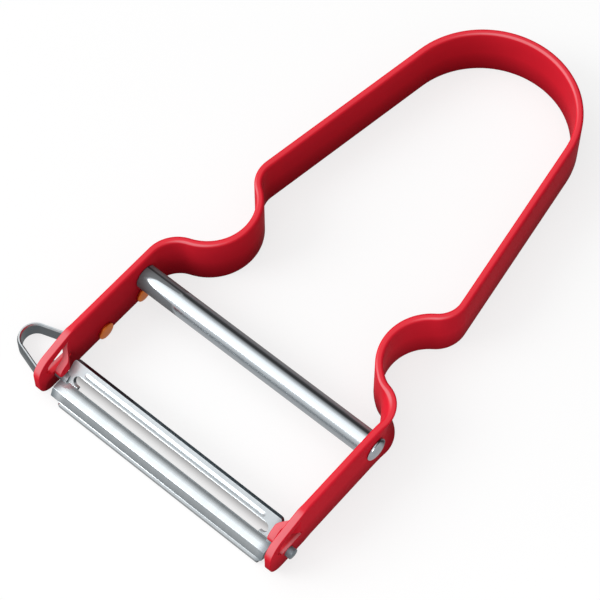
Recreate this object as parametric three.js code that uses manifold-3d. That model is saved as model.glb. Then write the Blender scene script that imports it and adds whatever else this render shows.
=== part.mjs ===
import * as THREE from 'three';
import { mergeVertices } from 'three/addons/utils/BufferGeometryUtils.js';
import Module from 'manifold-3d';

const wasm = await Module();
wasm.setup();

// Millimetres and degrees. X runs across the peeler, Y from the blade to the handle's end, Z up.
// The origin lies under the middle of the handle's end, level with the strip's lower edge.

// Handle strip: one long band bent round from arm to arm, sized on the middle of its thickness.
// A place "back" is counted from the handle's end, an "inset" from the arm's tip.
const STRIP_WIDTH = 11.0;
const STRIP_THICKNESS = 1.4;
const EDGE_ROUND = 0.35;
const JAW_WIDTH = 50.8;
const TIP_BACK = 108.05;
const ARM_LENGTH = 29.99;
const SHOULDER_RADIUS = 5.85;
const WAIST_HALF = 16.24;
const WAIST_RADIUS = 9.2;
const HANDLE_HALF = 22.28;
const HANDLE_RADIUS = 5.4;
const END_RADIUS = 16.9;

// Arm tip: upper edge falls towards a rounded nose.
const TIP_FALL = 2.4;
const TIP_FALL_LENGTH = 8.65;
const TIP_UPPER_ROUND = 4.0;
const TIP_LOWER_ROUND = 3.0;

// Blade pivot in the arms.
const PIVOT_INSET = 4.6;
const PIVOT_HEIGHT = 3.05;
const JOURNAL_RADIUS = 1.02;
const JOURNAL_PROUD = 1.2;
const JOURNAL_EASE = 0.2;
const RUNNING_CLEARANCE = 0.08;

// Swing stop: a tongue cut free of each arm and bent inwards in an S.
const TONGUE_ROOT_PAST_PIVOT = 3.3;
const TONGUE_ROOT_LAP = 0.6;
const TONGUE_BEND_LENGTH = 2.8;
const TONGUE_LENGTH = 5.3;
const TONGUE_DEPTH = 1.85;
const TONGUE_ABOVE_PIVOT = 2.05;
const TONGUE_HEIGHT = 2.0;
const TONGUE_LEAN = 0.25;
const SLIT_GAP = 0.3;
const RELIEF_RADIUS = 0.5;

// Blade: one formed sheet. Its back wing's angle is from +Y towards +Z, as the blade hangs at rest.
const BLADE_THICKNESS = 0.9;
const CREASE_FORWARD = 0.5;
const CREASE_RISE = 0.1;
const BACK_WING_ANGLE = 46;
const BACK_WING_WIDTH = 4.49;
const CREASE_OPENING = 122;
const FRONT_WING_TURN = 30;
const FRONT_WING_WIDTH = 2.62;
const FRONT_WING_CURVE = 3.0;
const FLANGE_TURN = 49;
const FLANGE_WIDTH = 1.86;
const LIP_TURN = 57;
const LIP_WIDTH = 0.5;
const CREASE_BEND = 0.5;
const RIDGE_BEND = 0.35;
const LIP_BEND = 0.25;
const RIDGE_INNER_BEND = 0.15;
const BLADE_END_GAP = 1.4;
const BACK_END_GAP = 0.05;
const BACK_STEP_WIDTH = 1.1;
const BACK_CORNER_ROUND = 0.9;
const LIP_END = 1.6;
const SLOT_END = 2.0;
const SLOT_WIDTH = 2.12;
const EDGE_END = 3.4;
const EDGE_RELIEF = 0.2;
const EDGE_GRIND_ANGLE = 28;
const RIB_END = 3.8;
const RIB_WIDTH = 1.15;
const RIB_OFFSET = 3.02;
const RIB_RISE = 0.3;
const NECK_LENGTH = 1.2;

// Cross bar between the arms, its ends passed through and headed over.
const BAR_PAST_SHOULDER = 2.94;
const BAR_ABOVE_RIVET = 0.65;
const BAR_RADIUS = 2.35;
const BAR_SHANK_RADIUS = 1.5;
const BAR_HEAD_RADIUS = 2.25;
const BAR_HEAD_RISE = 0.8;

// Eye remover: a bent steel loop on the outside of the left arm, held by two rivets.
const LOOP_THICKNESS = 0.7;
const LOOP_WIDTH = 3.2;
const LOOP_HEIGHT = 1.8;
const LOOP_BEND_INSET = 11.6;
const LOOP_BEND_RADIUS = 1.0;
const LOOP_APEX_INSET = 6.48;
const LOOP_APEX_OUT = 15.7;
const LOOP_APEX_RADIUS = 2.8;
const LOOP_TAIL_INSET = 2.1;
const LOOP_TAIL_OUT = 0.4;
const LOOP_PAST_RIVET = 1.55;
const FRONT_RIVET_INSET = 16.2;
const BACK_RIVET_PAST_BAR = 0.95;
const RIVET_SHANK_RADIUS = 1.0;
const RIVET_HEAD_RADIUS = 1.7;
const RIVET_HEAD_RISE = 0.5;
const RIVET_TAIL_RADIUS = 1.5;
const RIVET_TAIL_RISE = 0.4;

// Gap left between fixed pieces that touch.
const SEAT_GAP = 0.1;

const ARM_INNER = JAW_WIDTH / 2;
const ARM_MIDDLE = ARM_INNER + STRIP_THICKNESS / 2;
const ARM_OUTER = ARM_INNER + STRIP_THICKNESS;
const SHOULDER_BACK = TIP_BACK - ARM_LENGTH;
const TIP_FALL_BACK = TIP_BACK - TIP_FALL_LENGTH;
const PIVOT_BACK = TIP_BACK - PIVOT_INSET;
const TONGUE_ROOT_BACK = PIVOT_BACK - TONGUE_ROOT_PAST_PIVOT;
const TONGUE_FLOOR = PIVOT_HEIGHT + TONGUE_ABOVE_PIVOT;
const TONGUE_ROUND = 0.475 * TONGUE_HEIGHT;
const CUT_FROM = ARM_INNER - 2 * TONGUE_DEPTH;
const CUT_TO = ARM_OUTER + 2 * STRIP_THICKNESS;
const FRONT_HALF = ARM_INNER - BLADE_END_GAP;
const BACK_HALF = ARM_INNER - TONGUE_DEPTH - BACK_END_GAP;
const LIP_HALF = FRONT_HALF - LIP_END;
const SLOT_HALF = FRONT_HALF - SLOT_END;
const EDGE_HALF = FRONT_HALF - EDGE_END;
const RIB_HALF = FRONT_HALF - RIB_END;
const FRONT_WING_ANGLE = BACK_WING_ANGLE + CREASE_OPENING;
const FLANGE_ANGLE = FRONT_WING_ANGLE + FRONT_WING_TURN + FLANGE_TURN;
const BAR_BACK = SHOULDER_BACK + BAR_PAST_SHOULDER;
const BAR_HEIGHT = LOOP_HEIGHT + RIVET_HEAD_RADIUS + BAR_ABOVE_RIVET + BAR_RADIUS;
const RIVET_BACKS = [TIP_BACK - FRONT_RIVET_INSET, BAR_BACK + BACK_RIVET_PAST_BAR];
const LOOP_MIDDLE = ARM_OUTER + SEAT_GAP + LOOP_THICKNESS / 2;
const ARC_STEP = THREE.MathUtils.degToRad(9);
const ROUND_SIDES = 32;

const UP = new THREE.Vector3(0, 0, 1);
const ACROSS = new THREE.Vector3(1, 0, 0);
const ALONG = new THREE.Vector3(0, 1, 0);

function heading(degrees) {
  const angle = THREE.MathUtils.degToRad(degrees);
  return new THREE.Vector2(Math.cos(angle), Math.sin(angle));
}

function step(from, degrees, length) {
  return from.clone().addScaledVector(heading(degrees), length);
}

// Closed manifold body from a geometry.
function body(geometry) {
  const bare = new THREE.BufferGeometry();
  const loose = geometry.index ? geometry.toNonIndexed() : geometry;
  bare.setAttribute('position', loose.getAttribute('position'));
  const joined = mergeVertices(bare, 1e-4);
  const corners = [];
  for (let i = 0; i < joined.index.count; i += 3) {
    const [a, b, c] = joined.index.array.slice(i, i + 3);
    if (a !== b && b !== c && c !== a) corners.push(a, b, c);
  }
  const places = Float32Array.from(joined.getAttribute('position').array);
  const triVerts = Uint32Array.from(corners);
  return new wasm.Manifold(new wasm.Mesh({ numProp: 3, vertProperties: places, triVerts }));
}

function node(name, solid, material) {
  const data = solid.getMesh();
  const geometry = new THREE.BufferGeometry();
  geometry.setAttribute('position', new THREE.BufferAttribute(Float32Array.from(data.vertProperties), 3));
  geometry.setIndex(new THREE.BufferAttribute(Uint32Array.from(data.triVerts), 1));
  geometry.computeVertexNormals();
  const mesh = new THREE.Mesh(geometry, material);
  mesh.name = name;
  return mesh;
}

// Points round one corner, on an arc that touches both sides.
function roundCorner(before, corner, after, radius) {
  const inward = before.clone().sub(corner).normalize();
  const onward = after.clone().sub(corner).normalize();
  const half = Math.acos(THREE.MathUtils.clamp(inward.dot(onward), -1, 1)) / 2;
  const middle = inward.clone().add(onward).normalize();
  const centre = corner.clone().addScaledVector(middle, radius / Math.sin(half));
  const start = corner.clone().addScaledVector(inward, radius / Math.tan(half)).sub(centre);
  const turn = (Math.PI - 2 * half) * Math.sign(onward.cross(inward));
  const count = Math.max(2, Math.ceil(Math.abs(turn) / ARC_STEP));
  const points = [];
  for (let i = 0; i <= count; i++) {
    points.push(start.clone().rotateAround(new THREE.Vector2(), (turn * i) / count).add(centre));
  }
  return points;
}

// Path through corners given as [x, y, radius].
function roundedPath(corners, closed) {
  const count = corners.length;
  const place = (i) => new THREE.Vector2(...corners[(i + count) % count].slice(0, 2));
  const points = [];
  for (let i = 0; i < count; i++) {
    const end = !closed && (i === 0 || i === count - 1);
    if (end || !corners[i][2]) points.push(place(i));
    else points.push(...roundCorner(place(i - 1), place(i), place(i + 1), corners[i][2]));
  }
  return points;
}

// Line moved sideways, to the left of its heading, with mitred corners.
function shifted(points, distance) {
  return points.map((point, i) => {
    const before = points[Math.max(i - 1, 0)];
    const after = points[Math.min(i + 1, points.length - 1)];
    const arriving = i === 0 ? after.clone().sub(point) : point.clone().sub(before);
    const leaving = i === points.length - 1 ? arriving : after.clone().sub(point);
    const bend = arriving.normalize().clone().add(leaving.clone().normalize()).normalize();
    const reach = distance / bend.dot(arriving);
    return new THREE.Vector2(point.x - bend.y * reach, point.y + bend.x * reach);
  });
}

function band(points, left, right) {
  return new THREE.Shape([...shifted(points, -right), ...shifted(points, left).reverse()]);
}

function extruded(shape, depth, bevel = {}) {
  return new THREE.ExtrudeGeometry(shape, { depth, bevelEnabled: false, ...bevel });
}

// Outline in the YZ plane, drawn out along X.
function acrossPrism(points, from, to) {
  const geometry = extruded(new THREE.Shape(points), to - from);
  geometry.applyMatrix4(new THREE.Matrix4().makeBasis(ALONG, UP, ACROSS));
  return body(geometry.translate(from, 0, 0));
}

function acrossCylinder(radius, back, height, from, to) {
  const geometry = new THREE.CylinderGeometry(radius, radius, to - from, ROUND_SIDES);
  return body(geometry.rotateZ(-Math.PI / 2).translate((from + to) / 2, -back, height));
}

// Turned piece about an X axis, from [radius, x] points in rising x.
function acrossTurning(points, back, height) {
  const profile = points.map(([radius, x]) => new THREE.Vector2(radius, x));
  const geometry = new THREE.LatheGeometry(profile, ROUND_SIDES);
  return body(geometry.rotateZ(-Math.PI / 2).translate(0, -back, height));
}

// Domed head as [radius, x] points, from its rim to its top or from its top to its rim.
function dome(radius, base, rise) {
  const points = [];
  for (let i = 0; i <= 5; i++) {
    const angle = (i / 5) * (Math.PI / 2);
    points.push([radius * Math.cos(angle), base + rise * Math.sin(angle)]);
  }
  return rise > 0 ? points : points.reverse();
}

// Points of an arc, between two angles from +X.
function arc(centre, radius, from, to) {
  const count = Math.ceil(Math.abs(to - from) / ARC_STEP);
  const points = [];
  for (let i = 0; i <= count; i++) {
    const angle = from + ((to - from) * i) / count;
    points.push(new THREE.Vector2(Math.cos(angle), Math.sin(angle)).multiplyScalar(radius).add(centre));
  }
  return points;
}

// Centre of a bend that runs straight on from the bend before it.
function nextBend(before, distance, x) {
  return new THREE.Vector2(x, before.y + Math.sqrt(distance ** 2 - (x - before.x) ** 2));
}

function stripPath() {
  const shoulder = new THREE.Vector2(ARM_MIDDLE - SHOULDER_RADIUS, -SHOULDER_BACK);
  const waist = nextBend(shoulder, SHOULDER_RADIUS + WAIST_RADIUS, WAIST_HALF + WAIST_RADIUS);
  const handle = nextBend(waist, WAIST_RADIUS + HANDLE_RADIUS, HANDLE_HALF - HANDLE_RADIUS);
  const end = new THREE.Vector2(0, -END_RADIUS);
  const toWaist = waist.clone().sub(shoulder).angle();
  const toHandle = handle.clone().sub(waist).angle();
  const side = end.clone().sub(handle);
  const toEnd = side.angle() - Math.asin((END_RADIUS - HANDLE_RADIUS) / side.length()) - Math.PI / 2;
  const half = [
    new THREE.Vector2(ARM_MIDDLE, -TIP_BACK - STRIP_THICKNESS),
    ...arc(shoulder, SHOULDER_RADIUS, 0, toWaist),
    ...arc(waist, WAIST_RADIUS, toWaist + Math.PI, toHandle).slice(1),
    ...arc(handle, HANDLE_RADIUS, toHandle - Math.PI, toEnd).slice(1),
    ...arc(end, END_RADIUS, toEnd, Math.PI / 2),
  ];
  const other = half.slice(0, -1).reverse().map((point) => new THREE.Vector2(-point.x, point.y));
  return [...half, ...other];
}

// How far the tongue has moved inwards at a place, from 0 at its root to 1.
function tongueShare(y) {
  return THREE.MathUtils.smoothstep(-TONGUE_ROOT_BACK - y, 0, TONGUE_BEND_LENGTH);
}

// Tongue of the right arm.
function tongue() {
  const line = [];
  for (let i = 0; i <= 16; i++) {
    const y = TONGUE_ROOT_LAP - TONGUE_ROOT_BACK - ((TONGUE_LENGTH + TONGUE_ROOT_LAP) * i) / 16;
    line.push(new THREE.Vector2(ARM_INNER - TONGUE_DEPTH * tongueShare(y), y));
  }
  const outside = line.map((point) => new THREE.Vector2(point.x + STRIP_THICKNESS, point.y));
  const geometry = extruded(new THREE.Shape([...line, ...outside.reverse()]), TONGUE_HEIGHT);
  const places = geometry.getAttribute('position');
  for (let i = 0; i < places.count; i++) {
    const lean = TONGUE_LEAN * (1 - places.getZ(i) / TONGUE_HEIGHT) * tongueShare(places.getY(i));
    places.setX(i, places.getX(i) - lean);
  }
  const top = TONGUE_FLOOR + TONGUE_HEIGHT;
  const free = -TONGUE_ROOT_BACK - TONGUE_LENGTH;
  const outline = roundedPath([
    [free, TONGUE_FLOOR, TONGUE_ROUND],
    [STRIP_THICKNESS - TONGUE_ROOT_BACK, TONGUE_FLOOR, 0],
    [STRIP_THICKNESS - TONGUE_ROOT_BACK, top, 0],
    [free, top, TONGUE_ROUND],
  ], true);
  return body(geometry.translate(0, 0, TONGUE_FLOOR)).intersect(acrossPrism(outline, CUT_FROM, CUT_TO));
}

// Opening that the right arm's tongue was cut from, with its relief hole.
function tongueWindow() {
  const low = TONGUE_FLOOR - SLIT_GAP;
  const high = TONGUE_FLOOR + TONGUE_HEIGHT + SLIT_GAP;
  const free = -TONGUE_ROOT_BACK - TONGUE_LENGTH - SLIT_GAP;
  const outline = roundedPath([
    [free, low, TONGUE_ROUND],
    [-TONGUE_ROOT_BACK, low, 0],
    [-TONGUE_ROOT_BACK, high, 0],
    [free, high, TONGUE_ROUND],
  ], true);
  const relief = acrossCylinder(RELIEF_RADIUS, -free, (low + high) / 2, CUT_FROM, CUT_TO);
  return acrossPrism(outline, CUT_FROM, CUT_TO).add(relief);
}

function handleStrip() {
  const half = STRIP_THICKNESS / 2;
  const geometry = extruded(band(stripPath(), half, half), STRIP_WIDTH - 2 * EDGE_ROUND, {
    bevelEnabled: true,
    bevelThickness: EDGE_ROUND,
    bevelSize: EDGE_ROUND,
    bevelOffset: -EDGE_ROUND,
    bevelSegments: 3,
  });
  const over = STRIP_THICKNESS;
  const side = roundedPath([
    [-TIP_BACK, STRIP_WIDTH - TIP_FALL, TIP_UPPER_ROUND],
    [-TIP_BACK, 0, TIP_LOWER_ROUND],
    [-TIP_FALL_BACK, 0, 0],
    [-TIP_FALL_BACK, -over, 0],
    [over, -over, 0],
    [over, STRIP_WIDTH + over, 0],
    [(over * TIP_FALL_LENGTH) / TIP_FALL - TIP_FALL_BACK, STRIP_WIDTH + over, 0],
  ], true);
  const reach = CUT_TO;
  let strip = body(geometry.translate(0, 0, EDGE_ROUND)).intersect(acrossPrism(side, -reach, reach));
  const pivotHole = JOURNAL_RADIUS + RUNNING_CLEARANCE;
  strip = strip.subtract(acrossCylinder(pivotHole, PIVOT_BACK, PIVOT_HEIGHT, -reach, reach));
  strip = strip.subtract(acrossCylinder(BAR_SHANK_RADIUS + SEAT_GAP, BAR_BACK, BAR_HEIGHT, -reach, reach));
  for (const back of RIVET_BACKS) {
    strip = strip.subtract(acrossCylinder(RIVET_SHANK_RADIUS + SEAT_GAP, back, LOOP_HEIGHT, -reach, 0));
  }
  const opening = tongueWindow();
  const stop = tongue();
  strip = strip.subtract(opening).subtract(opening.mirror([1, 0, 0]));
  return strip.add(stop).add(stop.mirror([1, 0, 0]));
}

const CREASE = new THREE.Vector2(-PIVOT_BACK - CREASE_FORWARD, PIVOT_HEIGHT + CREASE_RISE);

// Blade's section, from the back edge over the crease and the ridge to the flange, with or without lip.
// Each bend has a radius on the upper face and one on the lower face.
function bladeSection(withLip) {
  const corners = [step(CREASE, BACK_WING_ANGLE, BACK_WING_WIDTH), CREASE];
  const bends = [[0, 0], [CREASE_BEND, CREASE_BEND + BLADE_THICKNESS]];
  const parts = 3;
  for (let i = 0; i < parts; i++) {
    const angle = FRONT_WING_ANGLE + (FRONT_WING_TURN * (i + 0.5)) / parts;
    corners.push(step(corners.at(-1), angle, FRONT_WING_WIDTH / parts));
    bends.push([FRONT_WING_CURVE, FRONT_WING_CURVE - BLADE_THICKNESS]);
  }
  bends[parts + 1] = [RIDGE_BEND, RIDGE_INNER_BEND];
  corners.push(step(corners.at(-1), FLANGE_ANGLE, FLANGE_WIDTH));
  bends.push([LIP_BEND, LIP_BEND + BLADE_THICKNESS]);
  if (withLip) corners.push(step(corners.at(-1), FLANGE_ANGLE - LIP_TURN, LIP_WIDTH));
  const face = (points, side) => roundedPath(points.map(({ x, y }, i) => [x, y, bends[i]?.[side]]), false);
  return [...face(corners, 0), ...face(shifted(corners, BLADE_THICKNESS), 1).reverse()];
}

function bladeSheet(withLip, half) {
  return acrossPrism(bladeSection(withLip), -half, half);
}

// Outline on the back wing as [x, distance from the crease, radius], raised off its upper face.
function onBackWing(corners, from, to) {
  const up = heading(BACK_WING_ANGLE);
  const geometry = extruded(new THREE.Shape(roundedPath(corners, true)), to - from);
  const along = new THREE.Vector3(0, up.x, up.y);
  const out = new THREE.Vector3(0, -up.y, up.x);
  geometry.translate(0, 0, from).applyMatrix4(new THREE.Matrix4().makeBasis(ACROSS, along, out));
  return body(geometry.translate(0, CREASE.x, CREASE.y));
}

function bladeTrim() {
  const side = FRONT_HALF + BLADE_THICKNESS;
  const beyond = 2 * (FRONT_WING_WIDTH + FLANGE_WIDTH);
  return onBackWing([
    [-side, -beyond, 0],
    [side, -beyond, 0],
    [side, BACK_STEP_WIDTH, 0],
    [BACK_HALF, BACK_STEP_WIDTH, 0],
    [BACK_HALF, BACK_WING_WIDTH, BACK_CORNER_ROUND],
    [-BACK_HALF, BACK_WING_WIDTH, BACK_CORNER_ROUND],
    [-BACK_HALF, BACK_STEP_WIDTH, 0],
    [-side, BACK_STEP_WIDTH, 0],
  ], -beyond, beyond);
}

function bladeSlot() {
  const round = (SLOT_WIDTH - EDGE_RELIEF) * 0.495;
  return onBackWing([
    [-SLOT_HALF, EDGE_RELIEF, round],
    [SLOT_HALF, EDGE_RELIEF, round],
    [SLOT_HALF, SLOT_WIDTH, round],
    [-SLOT_HALF, SLOT_WIDTH, round],
  ], -3 * BLADE_THICKNESS, BLADE_THICKNESS);
}

// Ground underside that brings the front wing to its cutting edge at the crease.
function edgeBevel() {
  const under = step(CREASE, FRONT_WING_ANGLE + EDGE_GRIND_ANGLE, FRONT_WING_WIDTH);
  const behind = step(CREASE, BACK_WING_ANGLE, SLOT_WIDTH / 2);
  const below = step(behind, BACK_WING_ANGLE - 90, 2 * BLADE_THICKNESS);
  const drop = 0.65 * BLADE_THICKNESS;
  const outline = [CREASE, under, step(under, 270, drop), step(below, 270, 2 * drop), below, behind];
  return acrossPrism(outline, -EDGE_HALF, EDGE_HALF);
}

// Raised bead along the back wing.
function bladeRib() {
  const points = [];
  for (let i = 0; i <= 10; i++) {
    const foot = step(CREASE, BACK_WING_ANGLE, RIB_OFFSET + RIB_WIDTH * (i / 10 - 0.5));
    points.push(step(foot, BACK_WING_ANGLE + 90, RIB_RISE * Math.sin((Math.PI * i) / 10)));
  }
  points.push(step(points.at(-1), BACK_WING_ANGLE - 90, BLADE_THICKNESS / 2));
  points.push(step(points[0], BACK_WING_ANGLE - 90, BLADE_THICKNESS / 2));
  return acrossPrism(points, -RIB_HALF, RIB_HALF);
}

function journal() {
  const inner = FRONT_HALF - NECK_LENGTH;
  const end = ARM_OUTER + JOURNAL_PROUD;
  return acrossTurning([
    [0, inner],
    [JOURNAL_RADIUS, inner],
    ...dome(JOURNAL_RADIUS, end - JOURNAL_EASE, JOURNAL_EASE),
  ], PIVOT_BACK, PIVOT_HEIGHT);
}

function blade() {
  const pivot = journal();
  const sheet = bladeSheet(false, FRONT_HALF).add(bladeSheet(true, LIP_HALF)).intersect(bladeTrim());
  const cut = sheet.add(bladeRib()).subtract(bladeSlot()).subtract(edgeBevel());
  return cut.add(pivot).add(pivot.mirror([1, 0, 0]));
}

function crossBar() {
  const seat = ARM_INNER - SEAT_GAP;
  const under = ARM_OUTER + SEAT_GAP;
  return acrossTurning([
    ...dome(BAR_HEAD_RADIUS, -under, -BAR_HEAD_RISE),
    [BAR_SHANK_RADIUS, -under],
    [BAR_SHANK_RADIUS, -seat],
    [BAR_RADIUS, -seat],
    [BAR_RADIUS, seat],
    [BAR_SHANK_RADIUS, seat],
    [BAR_SHANK_RADIUS, under],
    ...dome(BAR_HEAD_RADIUS, under, BAR_HEAD_RISE),
  ], BAR_BACK, BAR_HEIGHT);
}

function eyeLoop() {
  const line = roundedPath([
    [-LOOP_MIDDLE, LOOP_PAST_RIVET - RIVET_BACKS[1], 0],
    [-LOOP_MIDDLE, LOOP_BEND_INSET - TIP_BACK, LOOP_BEND_RADIUS],
    [-ARM_OUTER - LOOP_APEX_OUT, LOOP_APEX_INSET - TIP_BACK, LOOP_APEX_RADIUS],
    [-ARM_OUTER - LOOP_TAIL_OUT, LOOP_TAIL_INSET - TIP_BACK, 0],
  ], false);
  const half = LOOP_THICKNESS / 2;
  const geometry = extruded(band(line, half, half), LOOP_WIDTH);
  let loop = body(geometry.translate(0, 0, LOOP_HEIGHT - LOOP_WIDTH / 2));
  const outside = -LOOP_MIDDLE - LOOP_THICKNESS;
  for (const back of RIVET_BACKS) {
    const hole = acrossCylinder(RIVET_SHANK_RADIUS + SEAT_GAP, back, LOOP_HEIGHT, outside, -ARM_INNER);
    loop = loop.subtract(hole);
  }
  return loop;
}

function eyeRivet(back) {
  const inner = SEAT_GAP - ARM_INNER;
  const outer = -LOOP_MIDDLE - LOOP_THICKNESS / 2 - SEAT_GAP;
  return acrossTurning([
    ...dome(RIVET_TAIL_RADIUS, outer, -RIVET_TAIL_RISE),
    [RIVET_SHANK_RADIUS, outer],
    [RIVET_SHANK_RADIUS, inner],
    ...dome(RIVET_HEAD_RADIUS, inner, RIVET_HEAD_RISE),
  ], back, LOOP_HEIGHT);
}

const redCoat = new THREE.MeshStandardMaterial({ color: 0xbe1e2d, metalness: 0.2, roughness: 0.4 });
const bladeSteel = new THREE.MeshStandardMaterial({ color: 0xc9ced2, metalness: 1.0, roughness: 0.22 });
const barSteel = new THREE.MeshStandardMaterial({ color: 0xb9c0c5, metalness: 1.0, roughness: 0.2 });
const loopSteel = new THREE.MeshStandardMaterial({ color: 0xa7aeb3, metalness: 1.0, roughness: 0.35 });
const copper = new THREE.MeshStandardMaterial({ color: 0xb96a32, metalness: 1.0, roughness: 0.35 });

const peeler = new THREE.Group();
peeler.name = 'vegetable_peeler';
peeler.add(
  node('handle_strip', handleStrip(), redCoat),
  node('blade', blade(), bladeSteel),
  node('cross_bar', crossBar(), barSteel),
  node('eye_loop', eyeLoop(), loopSteel),
  node('eye_rivet_front', eyeRivet(RIVET_BACKS[0]), copper),
  node('eye_rivet_back', eyeRivet(RIVET_BACKS[1]), copper),
);

export default peeler;
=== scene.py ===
"""Looks of a hand peeler: red strip handle, swinging blade, polished bar, eye loop and copper rivets."""

import math

import bmesh
import bpy
from mathutils import Matrix, Vector

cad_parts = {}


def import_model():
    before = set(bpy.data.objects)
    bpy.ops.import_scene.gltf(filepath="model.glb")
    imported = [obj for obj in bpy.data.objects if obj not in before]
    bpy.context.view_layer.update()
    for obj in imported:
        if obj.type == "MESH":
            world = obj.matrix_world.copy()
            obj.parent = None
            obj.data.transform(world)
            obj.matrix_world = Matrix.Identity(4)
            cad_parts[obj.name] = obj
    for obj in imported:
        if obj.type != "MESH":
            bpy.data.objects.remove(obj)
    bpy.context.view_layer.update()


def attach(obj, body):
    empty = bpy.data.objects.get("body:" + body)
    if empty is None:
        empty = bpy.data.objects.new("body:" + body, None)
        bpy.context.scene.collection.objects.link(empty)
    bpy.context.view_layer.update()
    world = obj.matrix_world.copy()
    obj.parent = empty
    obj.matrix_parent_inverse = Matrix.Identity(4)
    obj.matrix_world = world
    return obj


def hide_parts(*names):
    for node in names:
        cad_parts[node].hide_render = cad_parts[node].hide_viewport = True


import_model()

# Sizes in millimetres, in the frame's axes: X across, Y from blade to handle's end, Z up.
MM = 0.001
STRIP_WIDTH = 11.0
STRIP_HALF = 0.7
STRIP_STEP = 1.2
STRIP_ROWS = 8
EDGE_ROUND = 0.5
EDGE_PARTS = 6
EDGE_BLEND = 1.6
ARM_INNER = 25.4
ARM_OUTER = ARM_INNER + 2 * STRIP_HALF
ARM_MIDDLE = ARM_INNER + STRIP_HALF
END_RADIUS = 16.9
END_PARTS = 24

# Corners of the strip's middle line: x, y and radius of the bend.
SHOULDER = (ARM_MIDDLE, -74.1, 5.85)
WAIST = (6.8, -66.4, 9.2)
HANDLE = (22.7, -54.5, 5.4)

# Hollow across the right shoulder: its strength, its ease along the strip,
# the distance from the strip's middle that stays in place, and its reach.
SADDLE = 0.55
SADDLE_EASE = 3.5
SADDLE_STILL = 4.6
SADDLE_REACH = 7.5

# Tips of the arms.
TIP_Y = -108.05
TIP_END_Y = -90
TIP_FALL_Y = -99.4
TIP_MIDDLE = 4.2
TIP_NOSE = 8.6
NOSE_ROUND = 4.0
FALL_ROUND = 6.0
FOOT_ROUND = 3.0
TIP_EDGE_ROUND = 0.22
TIP_SPAN = 9.0
TIP_PARTS = 40
TIP_RIM_PARTS = 5

# Pivot of the blade, in (y, z), and its hole.
PIVOT = (-103.45, 3.05)
PIVOT_HOLE = 1.1
HOLE_SIDES = 48
HOLE_REACH = 40

# Tongue cut out of each arm, and its window. Z and fall are given for the lower and the upper edge.
TONGUE_ROOT = -100.15
TONGUE_OVERLAP = 0.6
TONGUE_BEND = 2.8
TONGUE_LENGTH = 4.75
TONGUE_DEPTH = 2.1
TONGUE_Z = (5.17, 9.2)
TONGUE_FALL = (0.095, 0.6)
TONGUE_ROUND = 0.78
TONGUE_EDGE = 0.2
TONGUE_PARTS = 28
WINDOW_X = (20, 30)
WINDOW_Z = (4.4, 9.4)
WINDOW_FALL = 0.38
WINDOW_LENGTH = 5.5
WINDOW_ROUND = 0.8
RELIEF = 0.5
RELIEF_Z = 6.1

# Cross bar, at (y, z).
BAR = (-81.0, 6.5)
BAR_RADIUS = 2.35
BAR_CHAMFER = 0.15
BAR_SHANK = 1.5
BAR_HEAD = 2.25
HEAD_UNDERCUT = 0.12
HEAD_RIM = 0.15
BAR_RISE = 0.8
SEAT_GAP = 0.1

# Blade section, in (y, z): the crease, then angles from +Y towards +Z.
CREASE = Vector((-103.95, 3.15))
DOWN = 270
SHEET = 0.9
WING_ANGLE = 46
WING = 4.49
WING_SLANT = 0.2
WING_FOOT = 0.4
WING_EDGE = 0.06
WING_UNDER = 0.1
WING_PARTS = 80
FRONT = 2.62
FRONT_ANGLES = (168, 182, 196)
FRONT_PART = FRONT / len(FRONT_ANGLES)
FLANGE = (247, 1.86)
LIP = (182, 0.5)
LIP_ENDS = (-22.4, 24.0)
LIP_EASE = 0.7
LIP_LEAST = 0.03
UPPER_BENDS = (0.05, 3.0, 3.0, 0.3)
UNDER_BENDS = (1.4, 2.1, 2.1, 0.15)
LIP_BENDS = (0.25, 1.1)
BEND_PARTS = 8

# Blade across: places of its sections, and half lengths of what is cut into it or raised on it.
COARSE_PLACES = [0.0, 5.0, 10.0, 15.0, 18.0, 19.0]
FINE_START = 19.5
FINE_STEP = 0.1
FINE_COUNT = 38
LAST_PLACE = 23.4
FRONT_HALF = 24.0
BACK_HALF = 23.5
BACK_STEP = 1.1
BACK_ROUND = 0.9
CORNER_PARTS = 16
CORNER_REACH = (30, 7)
SLOT_HALF = 22.0
SLOT_PARTS = 24
SLOT = (0.2, 2.12)
EDGE_HALF = 20.6
GROUND = (-0.06, 1.2)
BEVEL_DEPTH = 1.8
BEVEL_DROPS = (0.58, 1.17)
CUT_DEPTH = 3
CUT_RISE = 1
BEAD_HALF = 20.4
BEAD_EASE = 0.5
BEAD = (2.98, 0.62, 0.5, 0.14)
RIM = (0.14, 0.025)
RIM_EASE = 0.6
JOURNAL_RADIUS = 1.02
JOURNAL_ROOT = 1.2
JOURNAL_PROUD = 1.2
JOURNAL_DOME = 0.2

# Eye loop: x, y and radius of its path's corners, and its bevelled section in (sideways, z).
LOOP_HALF = 0.35
LOOP_X = ARM_OUTER + SEAT_GAP + LOOP_HALF
LOOP_PATH = (
    (-LOOP_X, -80.4, 0),
    (-LOOP_X, -96.45, 1.0),
    (-ARM_OUTER - 15.7, -101.57, 2.8),
    (-ARM_OUTER - 0.4, -105.95, 0),
)
LOOP_LOW = 0.2
LOOP_HIGH = 3.4
LOOP_SECTION = (
    (-LOOP_HALF, LOOP_LOW),
    (LOOP_HALF, LOOP_LOW),
    (LOOP_HALF, LOOP_HIGH - 0.7),
    (0.12, LOOP_HIGH),
    (-0.12, LOOP_HIGH),
    (-LOOP_HALF, LOOP_HIGH - 0.25),
)

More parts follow.
